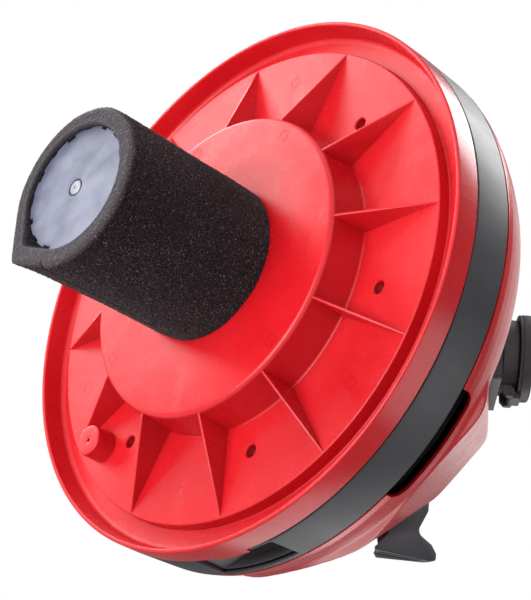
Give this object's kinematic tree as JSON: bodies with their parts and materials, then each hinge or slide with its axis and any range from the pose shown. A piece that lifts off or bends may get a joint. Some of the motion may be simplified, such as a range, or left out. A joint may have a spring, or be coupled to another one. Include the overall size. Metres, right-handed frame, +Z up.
{
  "type": "wet and dry vacuum power head",
  "caption": "Round vacuum power head: gusseted deck with foam filter on a cage, domed cover with carry handle, cord hooks and a lidded socket.",
  "frame": {"origin": "centre of the foam sleeve's lower end, which is the surface the head stands on", "axes": "+Z up through the motor shaft, -Y to the front with the lidded socket and the switch, +X to the right-hand latch window"},
  "size_m": [0.38, 0.38, 0.3882],
  "materials": {
    "red_plastic": "semi-gloss moulded",
    "black_plastic": "fine grained",
    "cap_plastic": "smooth pale blue-grey",
    "float_plastic": "smooth",
    "rocker_plastic": "gloss",
    "foam": "open-cell foam",
    "rubber": "matte",
    "steel": "pressed sheet and turned",
    "core_steel": "varnished laminations",
    "copper": "machined copper"
  },
  "bodies": {
    "head": {"band_ring": "black_plastic", "bearing_lower": "steel", "bearing_upper": "steel", "brush_holder_left": "copper", "brush_holder_right": "copper", "carry_handle": "black_plastic", "cord_gland": "black_plastic", "cord_hook_left": "black_plastic", "cord_hook_right": "black_plastic", "deck_screw_1": "steel", "deck_screw_2": "steel", "deck_screw_3": "steel", "deck_screw_4": "steel", "deck_screw_5": "steel", "deck_screw_6": "steel", "dome_cover": "red_plastic", "exhaust_baffle": "black_plastic", "fan_case": "steel", "filter_cage": "black_plastic", "filter_end_cap": "cap_plastic", "inlet_seal": "rubber", "latch_pocket_left": "black_plastic", "latch_pocket_right": "black_plastic", "lid_hinge_pin": "steel", "lower_housing": "red_plastic", "motor_base": "steel", "motor_frame": "steel", "motor_shroud": "black_plastic", "shroud_screw_1": "steel", "shroud_screw_2": "steel", "shroud_screw_3": "steel", "socket_body": "black_plastic", "socket_plinth": "black_plastic", "stator": "core_steel", "switch_bezel": "black_plastic", "switch_body": "black_plastic"},
    "rotor": {"motor_shaft": "steel", "armature": "copper", "commutator": "copper", "impeller": "steel", "cooling_fan": "black_plastic"},
    "sleeve": {"foam_sleeve": "foam"},
    "float": {"float_ball": "float_plastic"},
    "lid": {"socket_lid": "black_plastic"},
    "rocker": {"switch_rocker": "rocker_plastic"}
  },
  "joints": [
    {"name": "rotor_spin", "type": "hinge", "parent": "head", "child": "rotor", "pos_m": [0, 0, 0.22], "axis": [0, 0, 1], "continuous": true},
    {"name": "sleeve_pull", "type": "slide", "parent": "head", "child": "sleeve", "axis": [0, 0, -1], "range_m": [0, 0.125]},
    {"name": "float_rise", "type": "slide", "parent": "head", "child": "float", "axis": [0, 0, 1], "range_m": [0, 0.073]},
    {"name": "lid_swing", "type": "hinge", "parent": "head", "child": "lid", "pos_m": [0.0314, -0.07726, 0.34348], "axis": [0, 0.6947, 0.7193], "range_deg": [0, 105], "stiffness_Nm_per_rad": 0.004, "springref_deg": -34.38},
    {"name": "rocker_tilt", "type": "hinge", "parent": "head", "child": "rocker", "pos_m": [-0.05, -0.11674, 0.2694], "axis": [0, 0.6175, 0.7866], "range_deg": [-8, 8]}
  ]
}
